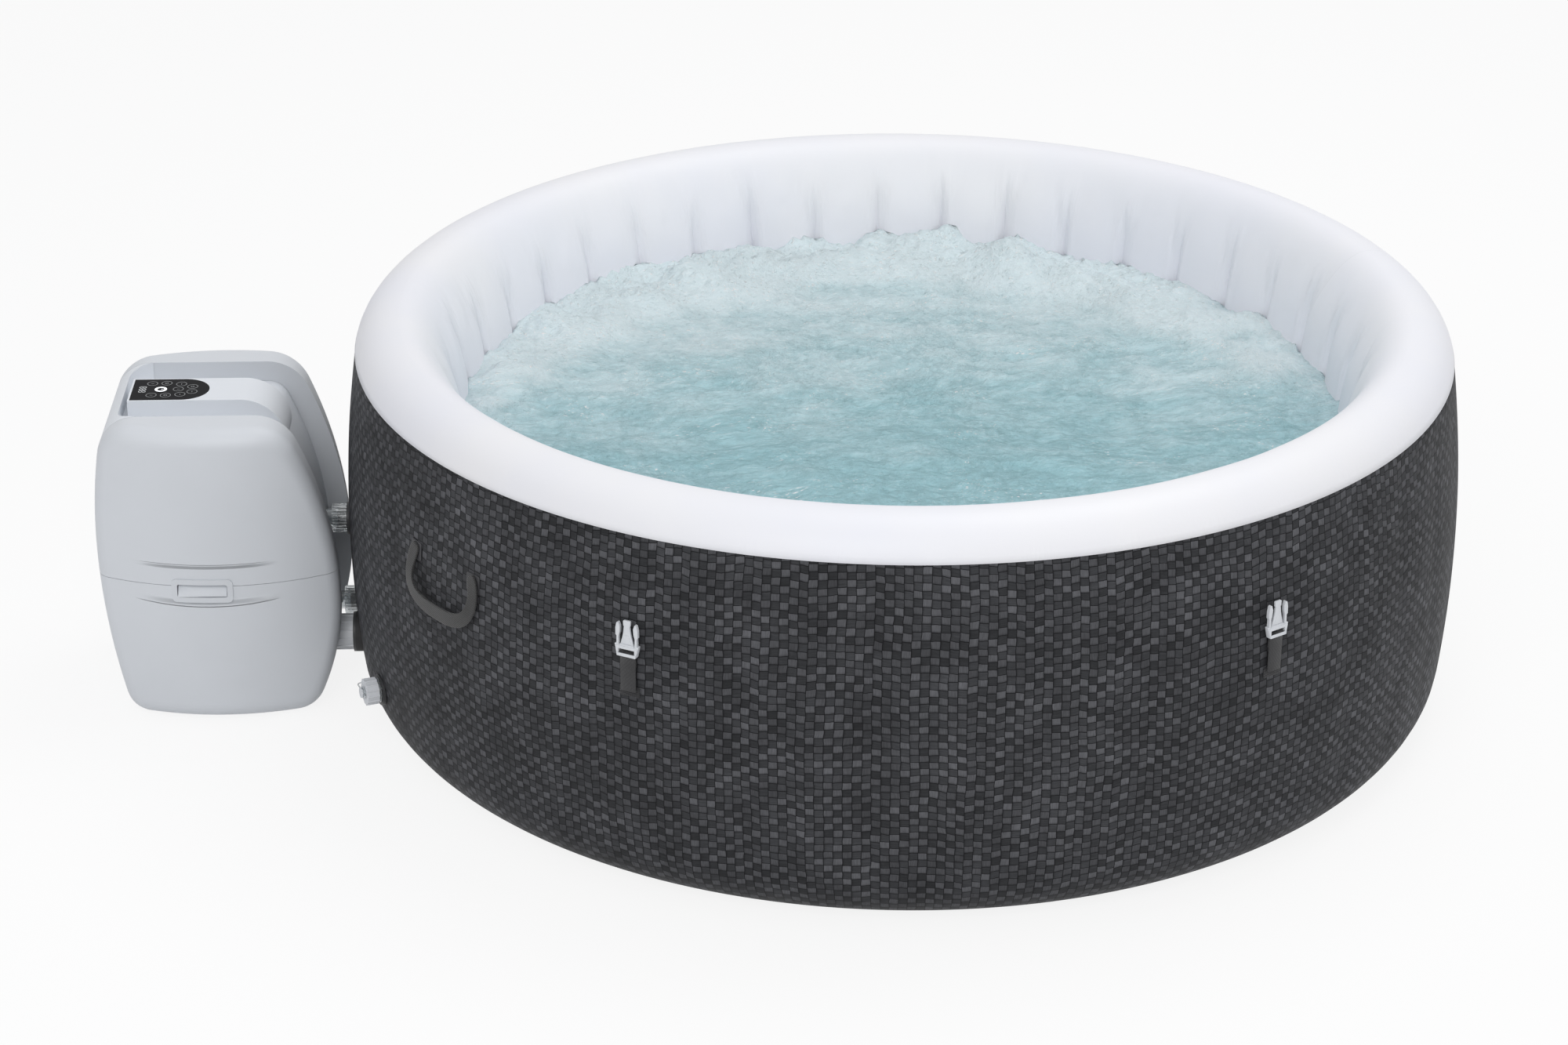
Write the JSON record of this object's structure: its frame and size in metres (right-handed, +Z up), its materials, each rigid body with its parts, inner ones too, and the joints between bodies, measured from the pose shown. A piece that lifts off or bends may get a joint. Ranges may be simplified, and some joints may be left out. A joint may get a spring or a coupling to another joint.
{
  "type": "inflatable hot tub",
  "caption": "Round inflatable hot tub with a padded rim, printed side wall, cover straps and a coupled floor-standing heater and blower unit.",
  "frame": {"origin": "middle of the tub footprint, on the ground", "axes": "+Z up, -X from the tub towards the pump unit, -Y the front"},
  "size_m": [2.2024, 1.8, 0.652],
  "materials": {
    "printed_vinyl": "woven print, satin",
    "rim_vinyl": "soft satin",
    "liner_vinyl": "soft satin",
    "base_vinyl": "matte",
    "foam": "matte",
    "beam_mesh": "matte",
    "webbing": "ribbed weave",
    "welded_patch": "matte",
    "buckle_grey": "satin",
    "casing_grey": "satin moulded",
    "grip_grey": "satin moulded",
    "panel_black": "gloss",
    "clear_plastic": "clear",
    "coupling_grey": "satin",
    "fitting_dark": "satin",
    "rubber": "matte",
    "filter_paper": "matte",
    "motor_metal": "satin",
    "heater_steel": "brushed",
    "inner_plastic": "matte",
    "circuit_board": "satin"
  },
  "bodies": {
    "tub": {"outer_wall": "printed_vinyl", "top_ring": "rim_vinyl", "inner_wall": "liner_vinyl", "base_sheet": "base_vinyl", "floor_liner": "foam", "chamber_beams": "beam_mesh", "bubble_ring": "liner_vinyl", "wall_fittings": "fitting_dark", "fitting_gaskets": "rubber", "inner_screens": "coupling_grey", "filter_housing": "coupling_grey", "filter_cartridge": "filter_paper", "bubble_feed": "coupling_grey", "drain_valve": "fitting_dark", "cap_tether": "clear_plastic", "air_valve": "fitting_dark", "webbing_patches": "welded_patch"},
    "pump_unit": {"lower_housing": "casing_grey", "front_cover": "casing_grey", "back_cover": "casing_grey", "channel_spine": "casing_grey", "grip_pockets": "grip_grey", "panel_bridge": "casing_grey", "control_panel": "panel_black", "control_board": "circuit_board", "pump_feet": "rubber", "clear_pipes": "clear_plastic", "air_pipe": "coupling_grey", "inner_frame": "inner_plastic", "volute": "inner_plastic", "pump_motor": "motor_metal", "heater_tube": "heater_steel", "water_line": "inner_plastic", "air_line": "inner_plastic", "check_valve": "inner_plastic", "blower_housing": "inner_plastic", "blower_motor": "motor_metal", "cord_gland": "fitting_dark"},
    "outlet_union": {"outlet_nut": "clear_plastic"},
    "intake_union": {"intake_nut": "clear_plastic"},
    "air_union": {"air_nut": "coupling_grey"},
    "pump_impeller": {"impeller": "inner_plastic"},
    "air_fan": {"blower_fan": "inner_plastic"},
    "flap": {"valve_flap": "rubber"},
    "filter_lid": {"filter_cap": "coupling_grey"},
    "drain_lid": {"drain_cap": "coupling_grey"},
    "air_valve_lid": {"air_valve_cap": "fitting_dark"},
    "strap_1": {"cover_strap_1": "webbing"},
    "buckle_1": {"strap_buckle_1": "buckle_grey"},
    "strap_2": {"cover_strap_2": "webbing"},
    "buckle_2": {"strap_buckle_2": "buckle_grey"},
    "strap_3": {"cover_strap_3": "webbing"},
    "buckle_3": {"strap_buckle_3": "buckle_grey"},
    "strap_4": {"cover_strap_4": "webbing"},
    "buckle_4": {"strap_buckle_4": "buckle_grey"},
    "strap_5": {"cover_strap_5": "webbing"},
    "buckle_5": {"strap_buckle_5": "buckle_grey"},
    "handle_1": {"carry_handle_1": "webbing"},
    "handle_2": {"carry_handle_2": "webbing"}
  },
  "joints": [
    {"name": "pump_detach", "type": "slide", "parent": "tub", "child": "pump_unit", "axis": [-1, 0, 0], "range_m": [0, 0.2]},
    {"name": "outlet_nut_turn", "type": "hinge", "parent": "pump_unit", "child": "outlet_union", "pos_m": [-0.93, 0, 0.28], "axis": [-1, 0, 0], "continuous": true},
    {"name": "intake_nut_turn", "type": "hinge", "parent": "pump_unit", "child": "intake_union", "pos_m": [-0.93, 0.06, 0.102], "axis": [-1, 0, 0], "continuous": true},
    {"name": "air_nut_turn", "type": "hinge", "parent": "pump_unit", "child": "air_union", "pos_m": [-0.93, -0.06, 0.102], "axis": [-1, 0, 0], "continuous": true},
    {"name": "impeller_spin", "type": "hinge", "parent": "pump_unit", "child": "pump_impeller", "pos_m": [-1.04, 0.06, 0.102], "axis": [1, 0, 0], "continuous": true},
    {"name": "blower_spin", "type": "hinge", "parent": "pump_unit", "child": "air_fan", "pos_m": [-1.157, 0, 0.36], "axis": [0, 0, 1], "continuous": true},
    {"name": "valve_flap_open", "type": "hinge", "parent": "pump_unit", "child": "flap", "pos_m": [-1.033, -0.06, 0.23], "axis": [0, 1, 0], "range_deg": [0, 60]},
    {"name": "filter_cap_turn", "type": "hinge", "parent": "tub", "child": "filter_lid", "pos_m": [-0.6, 0.06, 0.102], "axis": [1, 0, 0], "continuous": true},
    {"name": "drain_cap_turn", "type": "hinge", "parent": "tub", "child": "drain_lid", "pos_m": [-0.84572, -0.30782, 0.12], "axis": [-0.9397, -0.342, 0], "continuous": true},
    {"name": "air_valve_cap_turn", "type": "hinge", "parent": "tub", "child": "air_valve_lid", "pos_m": [-0.73724, 0.51622, 0.47], "axis": [-0.8192, 0.5736, 0], "continuous": true},
    {"name": "strap_fold_1", "type": "hinge", "parent": "tub", "child": "strap_1", "pos_m": [-0.44105, -0.78917, 0.36], "axis": [0.8729, -0.4879, 0], "range_deg": [0, 110]},
    {"name": "buckle_tilt_1", "type": "hinge", "parent": "strap_1", "child": "buckle_1", "pos_m": [-0.44105, -0.78917, 0.4203], "axis": [0.8729, -0.4879, 0], "range_deg": [0, 60]},
    {"name": "strap_fold_2", "type": "hinge", "parent": "tub", "child": "strap_2", "pos_m": [0.49898, -0.75388, 0.36], "axis": [0.8339, 0.5519, 0], "range_deg": [0, 110]},
    {"name": "buckle_tilt_2", "type": "hinge", "parent": "strap_2", "child": "buckle_2", "pos_m": [0.49898, -0.75388, 0.4203], "axis": [0.8339, 0.5519, 0], "range_deg": [0, 60]},
    {"name": "strap_fold_3", "type": "hinge", "parent": "tub", "child": "strap_3", "pos_m": [0.89877, 0.09764, 0.36], "axis": [-0.108, 0.9942, 0], "range_deg": [0, 110]},
    {"name": "buckle_tilt_3", "type": "hinge", "parent": "strap_3", "child": "buckle_3", "pos_m": [0.89877, 0.09764, 0.4203], "axis": [-0.108, 0.9942, 0], "range_deg": [0, 60]},
    {"name": "strap_fold_4", "type": "hinge", "parent": "tub", "child": "strap_4", "pos_m": [0.32546, 0.84345, 0.36], "axis": [-0.933, 0.36, 0], "range_deg": [0, 110]},
    {"name": "buckle_tilt_4", "type": "hinge", "parent": "strap_4", "child": "buckle_4", "pos_m": [0.32546, 0.84345, 0.4203], "axis": [-0.933, 0.36, 0], "range_deg": [0, 60]},
    {"name": "strap_fold_5", "type": "hinge", "parent": "tub", "child": "strap_5", "pos_m": [-0.60023, 0.67605, 0.36], "axis": [-0.7478, -0.6639, 0], "range_deg": [0, 110]},
    {"name": "buckle_tilt_5", "type": "hinge", "parent": "strap_5", "child": "buckle_5", "pos_m": [-0.60023, 0.67605, 0.4203], "axis": [-0.7478, -0.6639, 0], "range_deg": [0, 60]},
    {"name": "handle_lift_1", "type": "hinge", "parent": "tub", "child": "handle_1", "pos_m": [-0.72181, -0.53802, 0.4545], "axis": [-0.5976, 0.8018, 0], "range_deg": [0, 150]},
    {"name": "handle_lift_2", "type": "hinge", "parent": "tub", "child": "handle_2", "pos_m": [0.72181, 0.53802, 0.4545], "axis": [0.5976, -0.8018, 0], "range_deg": [0, 150]}
  ]
}
